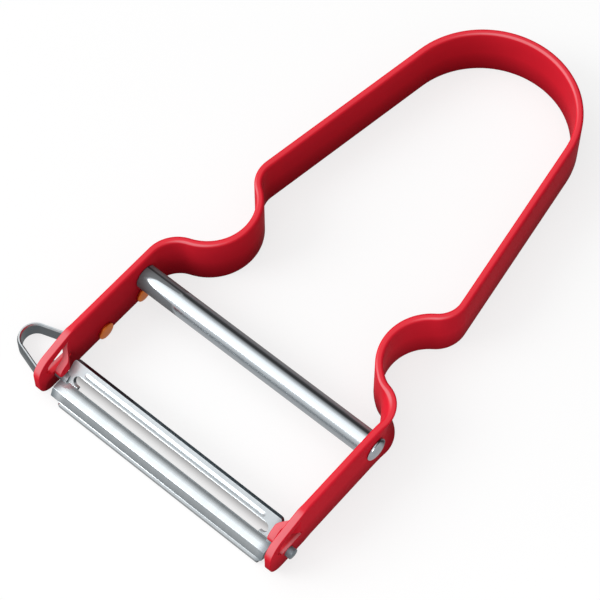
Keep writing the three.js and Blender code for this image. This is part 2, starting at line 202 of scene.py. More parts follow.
# Rivets: the tail's radius and rise, the shank, and the inner head in (radius, off the arm).
RIVET_YS = (-91.85, -81.95)
RIVET_Z = 1.8
RIVET_TAIL = (1.5, -0.4)
RIVET_SHANK = 1.0
RIVET_HEAD = ((1.6, 0.0), (1.7, 0.08), (1.7, 0.36), (1.66, 0.42), (1.58, 0.46), (1.0, 0.49), (0.0, 0.5))

# Fineness of the meshes. Angles are in degrees, and the merge distance is in metres.
MERGE_DISTANCE = 1e-7
FILLET_STEP = 4
FILLET_LEAST = 3
ROUND_PARTS = 4
ROUND_LIMIT = 0.98
MITRE_LIMIT = 0.5
TURNED_SIDES = 72
AXIS_RADIUS = 1e-4
DOME_PARTS = 10
SHARP_ANGLE = 32
SHARP_BLADE = 30
SHARP_LOOP = 25


def smoothstep(value, length):
    share = min(max(value / length, 0.0), 1.0)
    return share * share * (3 - 2 * share)


def fillet(before, corner, after, radius, parts=None):
    """Points on the arc that rounds a corner."""
    inward = (before - corner).normalized()
    onward = (after - corner).normalized()
    half = inward.angle(onward) / 2
    centre = corner + (inward + onward).normalized() * (radius / math.sin(half))
    start = corner + inward * (radius / math.tan(half)) - centre
    turn = (math.pi - 2 * half) * math.copysign(1, onward.x * inward.y - onward.y * inward.x)
    count = parts or max(FILLET_LEAST, math.ceil(abs(math.degrees(turn)) / FILLET_STEP))
    return [centre + Matrix.Rotation(turn * i / count, 2) @ start for i in range(count + 1)]


def rounded_path(corners, closed=False):
    """Path through (x, y, radius) corners."""
    count = len(corners)
    place = [Vector(c[:2]) for c in corners]
    points = []
    for i, corner in enumerate(corners):
        if corner[2] and (closed or 0 < i < count - 1):
            points += fillet(place[i - 1], place[i], place[(i + 1) % count], corner[2])
        else:
            points.append(place[i])
    return points


def mesh_object(name, points, faces):
    mesh = bpy.data.meshes.new(name)
    mesh.from_pydata([tuple(v * MM for v in p) for p in points], [], faces)
    mesh.validate()
    obj = bpy.data.objects.new(name, mesh)
    bpy.context.scene.collection.objects.link(obj)
    repair = bmesh.new()
    repair.from_mesh(mesh)
    bmesh.ops.remove_doubles(repair, verts=repair.verts, dist=MERGE_DISTANCE)
    bmesh.ops.recalc_face_normals(repair, faces=repair.faces)
    repair.to_mesh(mesh)
    repair.free()
    return obj


def skin(name, rings):
    """Closed tube through rings of points."""
    size = len(rings[0])
    points = [p for ring in rings for p in ring]
    faces = []
    for r in range(len(rings) - 1):
        for i in range(size):
            j = (i + 1) % size
            faces.append((r * size + i, r * size + j, (r + 1) * size + j, (r + 1) * size + i))
    faces.append(tuple(range(size - 1, -1, -1)))
    faces.append(tuple(range(len(points) - size, len(points))))
    return mesh_object(name, points, faces)


def prism(name, outline, low, high):
    """Outline of (y, z) points drawn out along X."""
    return skin(name, [[(x, p[0], p[1]) for p in outline] for x in (low, high)])


def shade(obj, angle):
    mesh = obj.data
    mesh.polygons.foreach_set("use_smooth", [True] * len(mesh.polygons))
    mesh.set_sharp_from_angle(angle=math.radians(angle))


def combine(obj, tool, operation):
    """Cuts or joins another solid and removes it."""
    modifier = obj.modifiers.new("solid", "BOOLEAN")
    modifier.operation = operation
    modifier.solver = "EXACT"
    modifier.object = tool
    bpy.context.view_layer.update()
    evaluated = obj.evaluated_get(bpy.context.evaluated_depsgraph_get())
    mesh = bpy.data.meshes.new_from_object(evaluated)
    obj.modifiers.clear()
    old = obj.data
    obj.data = mesh
    bpy.data.meshes.remove(old)
    bpy.data.objects.remove(tool)


def mirrored(obj, name):
    copy = obj.copy()
    copy.data = obj.data.copy()
    copy.name = name
    copy.data.transform(Matrix.Scale(-1, 4, (1, 0, 0)))
    copy.data.flip_normals()
    bpy.context.scene.collection.objects.link(copy)
    return copy


def combine_pair(obj, tool, left_name, operation):
    """Cuts or joins a solid on both sides, the left one first."""
    combine(obj, mirrored(tool, left_name), operation)
    combine(obj, tool, operation)


def rounded_section(half, low, high, radius, parts=ROUND_PARTS, rows=1):
    """Rounded rectangle of (sideways, z) points, anticlockwise, in rows up its long sides."""
    radius = min(radius, half * ROUND_LIMIT, (high - low) / 2 * ROUND_LIMIT)
    bottom, top = low + radius, high - radius
    steps = [bottom + (top - bottom) * i / rows for i in range(1, rows)]
    corners = ((half, bottom, -90), (half, top, 0), (-half, top, 90), (-half, bottom, 180))
    points = []
    for n, centre_z, start in corners:
        centre_n = n - math.copysign(radius, n)
        for i in range(parts + 1):
            angle = math.radians(start + 90 * i / parts)
            points.append((centre_n + radius * math.cos(angle), centre_z + radius * math.sin(angle)))
        if start == -90:
            points += [(half, z) for z in steps]
        elif start == 90:
            points += [(-half, z) for z in reversed(steps)]
    return points


def path_frames(points):
    """Each point with its unit normal, to the right of the heading, lengthened at bends."""
    frames = []
    for i, point in enumerate(points):
        arriving = (point - points[i - 1]).normalized() if i else (points[1] - point).normalized()
        leaving = (points[i + 1] - point).normalized() if i < len(points) - 1 else arriving
        bend = (arriving + leaving).normalized()
        normal = Vector((bend.y, -bend.x)) / max(bend.dot(arriving), MITRE_LIMIT)
        frames.append((point, normal))
    return frames


def tip_outline():
    """Upper and lower (y, z) lines of an arm's tip, from the nose to the full width."""
    start = (TIP_Y, TIP_MIDDLE, 0)
    nose = (TIP_Y, TIP_NOSE, NOSE_ROUND)
    fall = (TIP_FALL_Y, STRIP_WIDTH, FALL_ROUND)
    upper = rounded_path([start, nose, fall, (TIP_END_Y, STRIP_WIDTH, 0)])
    lower = rounded_path([start, (TIP_Y, 0, FOOT_ROUND), (TIP_END_Y, 0, 0)])
    return upper, lower


def height_at(line, y):
    for a, b in zip(line, line[1:]):
        if a.x <= y <= b.x and b.x > a.x:
            return a.y + (b.y - a.y) * (y - a.x) / (b.x - a.x)
    return line[-1].y


def rim(inset, radius):
    """Share of a sheet's thickness left at a distance from its rounded rim."""
    short = min(max(radius - inset, 0.0), radius)
    return (STRIP_HALF - radius + math.sqrt(radius**2 - short**2)) / STRIP_HALF


def stepped(points, longest):
    """Path with points added where they lie further apart than a step."""
    path = [points[0]]
    for a, b in zip(points, points[1:]):
        count = math.ceil((b - a).length / longest)
        path += [a.lerp(b, i / count) for i in range(1, count + 1)]
    return path


def strip_path():
    """Middle line of the strip, from the right tip round the handle's end to the left tip."""
    centre = Vector((0, -END_RADIUS))
    corner = Vector(HANDLE[:2]) - centre
    touch = math.atan2(corner.y, corner.x) + math.acos(END_RADIUS / corner.length)
    arc = []
    for i in range(END_PARTS + 1):
        angle = touch + (math.pi / 2 - touch) * i / END_PARTS
        arc.append(centre + END_RADIUS * Vector((math.cos(angle), math.sin(angle))))
    quarters = [math.pi / 2 * i / TIP_PARTS for i in range(TIP_PARTS + 1)]
    nose = [TIP_Y + TIP_SPAN * (1 - math.cos(quarter)) for quarter in quarters]
    nose += [TIP_Y + TIP_EDGE_ROUND * i / TIP_RIM_PARTS for i in range(1, TIP_RIM_PARTS + 1)]
    half = [Vector((ARM_MIDDLE, y)) for y in sorted(set(nose))]
    half += rounded_path([(ARM_MIDDLE, TIP_Y, 0), SHOULDER, WAIST, HANDLE, (arc[0].x, arc[0].y, 0)])[1:-1]
    half = stepped(half + arc, STRIP_STEP)
    return half + [Vector((-p.x, p.y)) for p in reversed(half[:-1])]


def eased_curvature(points, ease):
    """Curvature at each point, positive to the left of the heading, spread along the path."""
    places = [0.0]
    for a, b in zip(points, points[1:]):
        places.append(places[-1] + (b - a).length)
    turns = []
    for i in range(1, len(points) - 1):
        arriving, leaving = points[i] - points[i - 1], points[i + 1] - points[i]
        turns.append((places[i], math.atan2(arriving.cross(leaving), arriving.dot(leaving))))
    eased = []
    for place in places:
        eased.append(sum(turn * max(0.0, 1 - abs(place - bend) / ease) for bend, turn in turns) / ease)
    return eased


def strip_band():
    """Bent strip, hollow across the outside of the right shoulder."""
    upper, lower = tip_outline()
    path = strip_path()
    middle = STRIP_WIDTH / 2
    shoulder = Vector(SHOULDER[:2])
    rings = []
    for (point, normal), curvature in zip(path_frames(path), eased_curvature(path, SADDLE_EASE)):
        inset = point.y - TIP_Y
        low, high = height_at(lower, point.y), height_at(upper, point.y)
        half = STRIP_HALF * rim(inset, TIP_EDGE_ROUND)
        blend = smoothstep(point.y - TIP_FALL_Y, EDGE_BLEND)
        edge = TIP_EDGE_ROUND + (EDGE_ROUND - TIP_EDGE_ROUND) * blend
        near = smoothstep(SADDLE_REACH - (point - shoulder).length, SADDLE_REACH / 2)
        ring = []
        for n, z in rounded_section(half, low, high, edge, EDGE_PARTS, STRIP_ROWS):
            out = n + near * SADDLE * curvature / 2 * ((z - middle) ** 2 - SADDLE_STILL**2)
            ring.append((point.x + normal.x * out, point.y + normal.y * out, z))
        rings.append(ring)
    return skin("strip_band", rings)


def tongue():
    """Swing stop of the right arm, bent inwards in an S."""
    free = TONGUE_ROOT - TONGUE_LENGTH
    rings = []
    for i in range(TONGUE_PARTS + 1):
        reach = (TONGUE_LENGTH + TONGUE_OVERLAP) * math.sin(math.pi / 2 * i / TONGUE_PARTS)
        y = TONGUE_ROOT + TONGUE_OVERLAP - reach
        inset = y - free
        share = smoothstep(TONGUE_ROOT - y, TONGUE_BEND)
        short = min(max(TONGUE_ROUND - inset, 0.0), TONGUE_ROUND)
        cut = TONGUE_ROUND - math.sqrt(TONGUE_ROUND**2 - short**2)
        low, high = (z - fall * (TONGUE_ROOT - y) for z, fall in zip(TONGUE_Z, TONGUE_FALL))
        half = STRIP_HALF * rim(inset, TONGUE_EDGE)
        ring = []
        for n, z in rounded_section(half, low + cut, high - cut, TONGUE_EDGE):
            ring.append((ARM_MIDDLE + n - TONGUE_DEPTH * share, y, z))
        rings.append(ring)
    return skin("tongue", rings)


def tongue_window():
    low, high = WINDOW_Z
    free = TONGUE_ROOT - WINDOW_LENGTH
    fallen = high - WINDOW_FALL * WINDOW_LENGTH
    corners = [
        (free, low, WINDOW_ROUND),
        (TONGUE_ROOT, low, 0),
        (TONGUE_ROOT, high, 0),
        (free, fallen, WINDOW_ROUND),
    ]
    return prism("window", rounded_path(corners, closed=True), *WINDOW_X)


def circle(y, z, radius, sides):
    turns = [2 * math.pi * i / sides for i in range(sides)]
    return [(y + radius * math.cos(a), z + radius * math.sin(a)) for a in turns]


def hole(name, y, z, radius):
    """Round cutter through both arms."""
    return prism(name, circle(y, z, radius, HOLE_SIDES), -HOLE_REACH, HOLE_REACH)


def handle_strip():
    strip = strip_band()
    combine_pair(strip, tongue_window(), "window_left", "DIFFERENCE")
    combine(strip, hole("pivot", *PIVOT, PIVOT_HOLE), "DIFFERENCE")
    combine(strip, hole("relief", TONGUE_ROOT - WINDOW_LENGTH, RELIEF_Z, RELIEF), "DIFFERENCE")
    combine_pair(strip, tongue(), "tongue_left", "UNION")
    shade(strip, SHARP_ANGLE)
    return strip


def turned(name, profile, y, z):
    """Solid of revolution about an X axis, from (radius, x) points."""
    rings = []
    for radius, x in profile:
        rings.append([(x, *p) for p in circle(y, z, max(radius, AXIS_RADIUS), TURNED_SIDES)])
    obj = skin(name, rings)
    shade(obj, SHARP_ANGLE)
    return obj


def dome(radius, base, rise):
    """Quarter round of (radius, x) points, in the order of growing x."""
    points = []
    for i in range(DOME_PARTS + 1):
        angle = math.pi / 2 * i / DOME_PARTS
        points.append((radius * math.cos(angle), base + rise * math.sin(angle)))
    return points if rise > 0 else points[::-1]


def cross_bar():
    seat, under = ARM_INNER - SEAT_GAP, ARM_OUTER + SEAT_GAP
    right = [
        (BAR_RADIUS, seat - BAR_CHAMFER),
        (BAR_RADIUS - BAR_CHAMFER, seat),
        (BAR_SHANK, seat),
        (BAR_SHANK, under),
        (BAR_HEAD - HEAD_UNDERCUT, under),
        *dome(BAR_HEAD, under + HEAD_RIM, BAR_RISE - HEAD_RIM),
    ]
    left = [(r, -x) for r, x in reversed(right)]
    return turned("bar_round", left + right, *BAR)


def eye_loop():
    rings = []
    for point, normal in path_frames(rounded_path(LOOP_PATH)):
        rings.append([(point.x + normal.x * n, point.y + normal.y * n, z) for n, z in LOOP_SECTION])
    obj = skin("loop_band", rings)
    shade(obj, SHARP_LOOP)
    return obj


def eye_rivet(name, y):
    inner, outer = SEAT_GAP - ARM_INNER, -LOOP_X - LOOP_HALF - SEAT_GAP
    radius, rise = RIVET_TAIL
    profile = [*dome(radius, outer, rise), (RIVET_SHANK, outer), (RIVET_SHANK, inner)]
    profile += [(r, inner + off) for r, off in RIVET_HEAD]
    return turned(name, profile, y, RIVET_Z)


def heading(degrees):
    return Vector((math.cos(math.radians(degrees)), math.sin(math.radians(degrees))))


def on_wing(x, along, out=0.0):
    """Place on the blade's back wing: across, up from the crease, off its upper face."""
    place = CREASE + along * heading(WING_ANGLE) + out * heading(WING_ANGLE + 90)
    return (x, place.x, place.y)


def wing_height(x, along):
    """Raised bead along the wing and turned-up rim of the slot."""
    middle, front, back, rise = BEAD
    across = min(1.0, (along - middle) / back if along > middle else (middle - along) / front)
    inside = smoothstep(BEAD_HALF - abs(x), BEAD_EASE)
    bead = rise * (1 - across) ** (1 if along > middle else 2) * inside
    width, lift = RIM
    near = max(0.0, 1 - abs(along - SLOT[1]) / width)
    return bead + lift * near**2 * smoothstep(SLOT_HALF - RIM_EASE - abs(x), RIM_EASE)


def blade_section(x):
    """Closed (y, z) outline of the formed sheet at a place across."""
    lip = max(LIP_LEAST, smoothstep(min(x - LIP_ENDS[0], LIP_ENDS[1] - x), LIP_EASE))
    corners = [CREASE + WING * heading(WING_ANGLE), CREASE.copy()]
    for angle in FRONT_ANGLES:
        corners.append(corners[-1] + FRONT_PART * heading(angle))
    corners.append(corners[-1] + FLANGE[1] * heading(FLANGE[0]))
    corners.append(corners[-1] + LIP[1] * lip * heading(FLANGE[0] + (LIP[0] - FLANGE[0]) * lip))
    under = [point - SHEET * normal for point, normal in path_frames(corners)]
    upper_bends = (*UPPER_BENDS, LIP_BENDS[0] * lip)
    under_bends = (*UNDER_BENDS, LIP_BENDS[1] * lip)
    crest = WING - WING_SLANT
    upper = []
    for i in range(WING_PARTS + 1):
        along = crest - WING_EDGE - (crest - WING_EDGE - WING_FOOT) * i / WING_PARTS
        upper.append(Vector(on_wing(x, along, wing_height(x, along))[1:]))
    lower = [under[0] - WING_UNDER * heading(WING_ANGLE)]
    for i in range(1, len(corners) - 1):
        upper += fillet(corners[i - 1], corners[i], corners[i + 1], upper_bends[i - 1], BEND_PARTS)
        lower += fillet(under[i - 1], under[i], under[i + 1], under_bends[i - 1], BEND_PARTS)
    back = corners[0] - WING_SLANT * heading(WING_ANGLE) - under[0]
    edge = [under[0] + WING_EDGE * back, under[0] + (1 - WING_EDGE) * back]
    return upper + [corners[-1], under[-1]] + lower[::-1] + edge


def wing_prism(name, outline, low, high):
    """Outline of (x, up from the crease) points drawn out square to the back wing."""
    return skin(name, [[on_wing(x, along, out) for x, along in outline] for out in (low, high)])


def wing_corner():
    """Waste outside the wing's narrower, round-cornered back."""
    middle = (BACK_HALF - BACK_ROUND, WING - BACK_ROUND)
    side, top = CORNER_REACH
    arc = []
    for i in range(CORNER_PARTS + 1):
        angle = math.pi / 2 * (1 - i / CORNER_PARTS)
        arc.append((middle[0] + BACK_ROUND * math.cos(angle), middle[1] + BACK_ROUND * math.sin(angle)))
    outline = [(side, BACK_STEP), (side, top), (middle[0], top), *arc, (BACK_HALF, BACK_STEP)]
    return wing_prism("corner", outline, -CUT_DEPTH, CUT_DEPTH)


def slot_cutter():
    low, high = SLOT
    radius = (high - low) / 2
    outline = []
    for side in (1, -1):
        for i in range(SLOT_PARTS + 1):
            angle = math.pi * (i / SLOT_PARTS - 0.5)
            across = side * (SLOT_HALF - radius + radius * math.cos(angle))
            outline.append((across, low + radius + side * radius * math.sin(angle)))
    return wing_prism("slot", outline, -CUT_DEPTH, CUT_RISE)


def ground_edge():
    """Clearance along the cutting edge, between the slot's ends."""
    half = EDGE_HALF
    low, high = GROUND
    outline = [(-half, low), (half, low), (half, high), (-half, high)]
    return wing_prism("ground", outline, -CUT_DEPTH, CUT_RISE)


def edge_bevel():
    """Ground underside that brings the front wing to its cutting edge."""
    under = CREASE + FRONT * heading(FRONT_ANGLES[-1])
    behind = CREASE + SLOT[1] / 2 * heading(WING_ANGLE)
    below = behind + BEVEL_DEPTH * heading(WING_ANGLE - 90)
    front_drop, back_drop = (drop * heading(DOWN) for drop in BEVEL_DROPS)
    outline = [CREASE, under, under + front_drop, below + back_drop, below, behind]
    return prism("bevel", outline, -EDGE_HALF, EDGE_HALF)


def journal():
    inner, end = FRONT_HALF - JOURNAL_ROOT, ARM_OUTER + JOURNAL_PROUD
    profile = [(JOURNAL_RADIUS, inner), *dome(JOURNAL_RADIUS, end - JOURNAL_DOME, JOURNAL_DOME)]
    return turned("journal", profile, *PIVOT)


def blade():
    """Formed sheet with slot, bead, ground edge and journals."""
    half = COARSE_PLACES + [FINE_START + FINE_STEP * i for i in range(FINE_COUNT)]
    half += [LAST_PLACE, FRONT_HALF]
    places = [-x for x in reversed(half[1:])] + half
    obj = skin("blade_sheet", [[(x, p.x, p.y) for p in blade_section(x)] for x in places])
    combine_pair(obj, wing_corner(), "corner_left", "DIFFERENCE")
    for cutter in (slot_cutter, ground_edge, edge_bevel):
        combine(obj, cutter(), "DIFFERENCE")
    combine_pair(obj, journal(), "journal_left", "UNION")
    shade(obj, SHARP_BLADE)
    return obj


# Ramps hold (place along a measure, grey or linear colour) stops.
# Measures: heights and the wing in centimetres, places across in units of 50 mm, facing as a cosine.
CENTIMETRES = 100.0
ACROSS = 20.0
NOISE_DETAIL = 4.0
BUMP_DISTANCE = 0.0001
BUMP = 0.05

RED_CLOUD = 60
RED_GRAIN = 2600
RED_GRAIN_DETAIL = 3
RED_TONES = [(0.3, (0.73, 0.017, 0.034)), (0.7, (0.80, 0.020, 0.040))]
RED_GLOSS = [(0.3, 0.36), (0.7, 0.46)]
RED_IOR = 1.2
RED_SPECULAR = 0.03
# Painted highlight: pale pink added to the coat where its edges face up and forward, and on the windows'
# up-facing cut faces.
HIGHLIGHT_PINK = (0.0, 0.15, 0.155)
HIGHLIGHT_DIRECTION = (0, -0.6, 0.8)
EDGE_HIGHLIGHT = [(0.70, 0.0), (0.79, 0.025), (0.83, 0.03), (0.925, HIGHLIGHT_PINK)]
# Painted shade: the coat darkens towards the strip's foot.
STRIP_FOOT_SHADE = [(0.0, 0.5), (0.55, 1.0)]
# Painted highlight on the windows' up-facing cut faces, low down on the outside of the arms.
CUT_FACE_HIGHLIGHT = [(0.9, 0.0), (0.97, HIGHLIGHT_PINK)]
HIGHLIGHT_LOW = [(0.46, 1.0), (0.5, 0.0)]
HIGHLIGHT_OUTSIDE = [(0.524, 0.0), (0.528, 1.0)]

STREAK = 900
BLADE_STREAK = (1, 0.06, 0.06)
CREASE_SHARE = 0.3
# Painted shade: dark grey on the blade's back cut edge and on its cut faces that face across.
CUT_SHADE_GREY = (0.15, 0.17, 0.18)
BLADE_TONES = [(0.3, (0.66, 0.71, 0.74)), (0.7, (0.72, 0.77, 0.80))]
BLADE_EDGE_SHADE = [(0.727, 1.0), (0.731, CUT_SHADE_GREY)]
# Painted shade: the blade darker towards its ends, next to the arms.
BLADE_STUB_SHADE = [(0.448, 1.0), (0.472, (0.44, 0.48, 0.50)), (0.53, (0.30, 0.34, 0.36))]
# Painted shade: the blade darker towards its lower edge.
BLADE_FOOT_SHADE = [(0.10, 0.66), (0.27, 1.0)]
BLADE_CUT_SHADE = [(0.5, 1.0), (0.75, CUT_SHADE_GREY)]
BLADE_BEYOND = [(0.484, 0.0), (0.49, 1.0)]
BLADE_GLOSS = [(0.30, 0.16), (0.33, 0.38), (0.72, 0.38), (0.73, 0.3)]
BLADE_BUMP = 0.01
BLADE_DULL_ENDS = [(0.448, 1.0), (0.472, 0.35)]
BLADE_DULL_LEFT = [(0.424, 1.0), (0.452, 0.35)]

BAR_STREAK = (0.03, 1, 1)
BAR_TONES = [(0.3, (0.60, 0.65, 0.69)), (0.7, (0.68, 0.73, 0.77))]
# Painted shade: a dark band, then dull grey, along the bar's back.
BAR_BACK_SHADE = [(0.10, 1.0), (0.28, 0.07), (0.40, 0.07), (0.60, 0.42)]
BAR_BACK_METAL = [(0.24, 1.0), (0.32, 0.0)]
BAR_UPWARD = (0, -0.4, 0.916)
BAR_BOW = [(0.0, 0.16), (0.88, 0.13), (0.95, 0.03), (1.0, 0.0)]
# Painted shade: the bar's left end darker, next to the arm.
BAR_LEFT_SHADE = [(0.462, 1.0), (0.478, 0.24)]
BAR_LEFT_METAL = [(0.462, 1.0), (0.478, 0.0)]
BAR_GLOSS = [(0.3, 0.14), (0.7, 0.22)]
BAR_SPECULAR = 0.1

LOOP_STREAK = (1, 0.05, 1)
LOOP_TONES = [(0.3, (0.85, 0.92, 0.96)), (0.7, (1.0, 1.0, 1.0))]
# Ground upper edge with painted highlight, and painted shade on the sides, by how far the loop faces up.
LOOP_GROUND_AND_SHADE = [(0.25, (0.20, 0.22, 0.23)), (0.85, (0.80, 0.82, 0.83))]
LOOP_GLOSS = [(0.3, 0.26), (0.7, 0.38)]
COPPER_TONES = [(0.3, (0.82, 0.20, 0.03)), (0.7, (0.95, 0.27, 0.045))]
COPPER_GLOSS = [(0.3, 0.28), (0.7, 0.42)]


def nodes_of(name):
    material = bpy.data.materials.new(name)
    material.use_nodes = True
    tree = material.node_tree
    return material, tree, tree.nodes["Principled BSDF"]


def add(tree, kind, **values):
    made = tree.nodes.new(kind)
    for key, value in values.items():
        setattr(made, key, value)
    return made


def feed(tree, made, values):
    """Links sockets to a node's inputs in turn, and sets plain values on them."""
    for target, value in zip(made.inputs, values):
        if isinstance(value, bpy.types.NodeSocket):
            tree.links.new(value, target)
        else:
            target.default_value = value
    return made


def number(tree, operation, *values):
    return feed(tree, add(tree, "ShaderNodeMath", operation=operation), values).outputs[0]


def vector(tree, operation, *values):
    return feed(tree, add(tree, "ShaderNodeVectorMath", operation=operation), values).outputs["Vector"]


def multiplied(tree, colour, *masks):
    for mask in masks:
        colour = vector(tree, "MULTIPLY", colour, mask)
    return colour


def coordinates(tree, kind):
    return add(tree, "ShaderNodeTexCoord").outputs[kind]


def measure(tree, direction, shift=0.0, kind="Object"):
    """Part of a place or a normal along a direction, shifted."""
    along = add(tree, "ShaderNodeVectorMath", operation="DOT_PRODUCT")
    feed(tree, along, (coordinates(tree, kind), direction))
    if shift:
        return number(tree, "ADD", along.outputs["Value"], shift)
    return along.outputs["Value"]


def noise(tree, scale, stretch=(1, 1, 1), detail=NOISE_DETAIL):
    mapping = add(tree, "ShaderNodeMapping")
    mapping.inputs["Scale"].default_value = stretch
    made = add(tree, "ShaderNodeTexNoise")
    made.inputs["Scale"].default_value = scale
    made.inputs["Detail"].default_value = detail
    tree.links.new(coordinates(tree, "Object"), mapping.inputs["Vector"])
    tree.links.new(mapping.outputs["Vector"], made.inputs["Vector"])
    return made.outputs["Fac"]


def ramp(tree, source, stops):
    made = add(tree, "ShaderNodeValToRGB")
    points = made.color_ramp.elements
    while len(points) < len(stops):
        points.new(0.5)
    for point, (place, colour) in zip(points, stops):
        point.position = place
        point.color = (*colour, 1) if isinstance(colour, tuple) else (colour, colour, colour, 1)
    tree.links.new(source, made.inputs["Fac"])
    return made.outputs["Color"]


def facing(tree, direction, stops):
    """Ramp by how far a surface of the piece faces a direction."""
    return ramp(tree, measure(tree, direction, kind="Normal"), stops)


def outward(tree, scale, kind="Object"):
    """Size of a place's or a normal's X part, scaled."""
    return number(tree, "ABSOLUTE", measure(tree, (scale, 0, 0), kind=kind))


def height(tree):
    """Height over the frame's floor, in centimetres."""
    return measure(tree, (0, 0, CENTIMETRES))


def leftward(tree):
    return measure(tree, (-ACROSS, 0, 0))


def wing_share(tree):
    """Centimetres up the blade's back wing, with the crease at CREASE_SHARE."""
    up = heading(WING_ANGLE)
    shift = CREASE_SHARE - CREASE.dot(up) * MM * CENTIMETRES
    return measure(tree, (0, up.x * CENTIMETRES, up.y * CENTIMETRES), shift)


def finish(tree, shader, colour, gloss, grain, depth=BUMP):
    """Feeds a shader's colour, roughness and fine bump."""
    tree.links.new(colour, shader.inputs["Base Color"])
    tree.links.new(gloss, shader.inputs["Roughness"])
    made = add(tree, "ShaderNodeBump")
    made.inputs["Strength"].default_value = depth
    made.inputs["Distance"].default_value = BUMP_DISTANCE
    tree.links.new(grain, made.inputs["Height"])
    tree.links.new(made.outputs["Normal"], shader.inputs["Normal"])


def red_coat():
    """Red coat, with a painted highlight on the tips' edges and on the windows' cut faces, and painted
    shade towards the strip's foot.
    """
    material, tree, shader = nodes_of("red_coat")
    tone = ramp(tree, noise(tree, RED_CLOUD), RED_TONES)
    # Painted highlight: pale pink on the edges that face up and forward.
    edge_highlight = facing(tree, HIGHLIGHT_DIRECTION, EDGE_HIGHLIGHT)
    # Painted shade: the colour darkens towards the strip's foot.
    coat = multiplied(tree, vector(tree, "ADD", tone, edge_highlight), ramp(tree, height(tree), STRIP_FOOT_SHADE))
    # Painted highlight: pale pink on up-facing cut faces low on the arms' outside.
    cut_face_highlight = facing(tree, (0, 0, 1), CUT_FACE_HIGHLIGHT)
    low = ramp(tree, height(tree), HIGHLIGHT_LOW)
    outside = ramp(tree, outward(tree, ACROSS), HIGHLIGHT_OUTSIDE)
    colour = vector(tree, "ADD", coat, multiplied(tree, cut_face_highlight, low, outside))
    grain = noise(tree, RED_GRAIN, detail=RED_GRAIN_DETAIL)
    finish(tree, shader, colour, ramp(tree, grain, RED_GLOSS), grain)
    shader.inputs["IOR"].default_value = RED_IOR
    shader.inputs["Specular IOR Level"].default_value = RED_SPECULAR
    return material


def blade_steel():
    """Brushed back wing and smoother front wing, with dull ends, and painted shade on the back cut edge,
    the cut faces, the ends and the foot.
    """
    material, tree, shader = nodes_of("blade_steel")
    streak = noise(tree, STREAK, BLADE_STREAK)
    share = wing_share(tree)
    reach = outward(tree, ACROSS)
    # Painted shade: dark grey on the cut faces that face across.
    cut = ramp(tree, outward(tree, 1.0, "Normal"), BLADE_CUT_SHADE)
    colour = multiplied(
        tree,
        ramp(tree, streak, BLADE_TONES),
        # Painted shade: dark grey along the back cut edge.
        ramp(tree, share, BLADE_EDGE_SHADE),
        # Painted shade: darker towards the ends.
        ramp(tree, reach, BLADE_STUB_SHADE),
        # Painted shade: darker towards the lower edge.
        ramp(tree, height(tree), BLADE_FOOT_SHADE),
        vector(tree, "MAXIMUM", cut, ramp(tree, reach, BLADE_BEYOND)),
    )
    finish(tree, shader, colour, ramp(tree, share, BLADE_GLOSS), streak, BLADE_BUMP)
    ends = ramp(tree, reach, BLADE_DULL_ENDS)
    metal = vector(tree, "MINIMUM", ends, ramp(tree, leftward(tree), BLADE_DULL_LEFT))
    tree.links.new(metal, shader.inputs["Metallic"])
    return material


def bar_steel():
    """Polished bar, dull along its back and at its left end, with a bowed border there; there its colour
    is darkened as painted shade, with a painted dark band along the back.
    """
    material, tree, shader = nodes_of("bar_steel")
    streak = noise(tree, STREAK, BAR_STREAK)
    bowed = number(tree, "ADD", leftward(tree), facing(tree, BAR_UPWARD, BAR_BOW))
    # Painted shade: darker along the back and at the left end.
    bright = vector(tree, "MINIMUM", facing(tree, (0, 1, 0), BAR_BACK_SHADE), ramp(tree, bowed, BAR_LEFT_SHADE))
    back_metal = facing(tree, (0, 1, 0), BAR_BACK_METAL)
    metal = vector(tree, "MINIMUM", back_metal, ramp(tree, bowed, BAR_LEFT_METAL))
    colour = multiplied(tree, ramp(tree, streak, BAR_TONES), bright)
    finish(tree, shader, colour, ramp(tree, streak, BAR_GLOSS), streak)
    tree.links.new(metal, shader.inputs["Metallic"])
    shader.inputs["Specular IOR Level"].default_value = BAR_SPECULAR
    return material


def loop_steel():
    """Dull steel; a ground upper edge and a painted highlight make it lighter where it faces up, and
    painted shade darkens its sides.
    """
    material, tree, shader = nodes_of("loop_steel")
    streak = noise(tree, STREAK, LOOP_STREAK)
    # Painted highlight on the up-facing edge and painted shade on the sides.
    colour = multiplied(tree, ramp(tree, streak, LOOP_TONES), facing(tree, (0, 0, 1), LOOP_GROUND_AND_SHADE))
    finish(tree, shader, colour, ramp(tree, streak, LOOP_GLOSS), streak)
    shader.inputs["Metallic"].default_value = 1.0
    return material


def rivet_copper():
    material, tree, shader = nodes_of("rivet_copper")
    grain = noise(tree, STREAK)
    finish(tree, shader, ramp(tree, grain, COPPER_TONES), ramp(tree, grain, COPPER_GLOSS), grain)
    shader.inputs["Metallic"].default_value = 1.0
    return material


def dress(obj, node, body, material):
    obj.data.materials.clear()
    obj.data.materials.append(material)
    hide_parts(node)
    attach(obj, body)


dress(handle_strip(), "handle_strip", "frame", red_coat())
dress(blade(), "blade", "blade", blade_steel())
dress(cross_bar(), "cross_bar", "frame", bar_steel())
dress(eye_loop(), "eye_loop", "frame", loop_steel())
copper_look = rivet_copper()
for rivet_node, rivet_y in zip(("eye_rivet_front", "eye_rivet_back"), RIVET_YS):
    dress(eye_rivet(rivet_node + "_look", rivet_y), rivet_node, "frame", copper_look)

# Stage: the floor's half side in millimetres, and its share of plain white
# for camera rays and for mirrored or passing rays.
FLOOR_HALF = 900
CAMERA_WHITE = 0.75
MIRROR_WHITE = 0.4
PAPER = [(0.0, 0.14), (1.0, 0.97)]

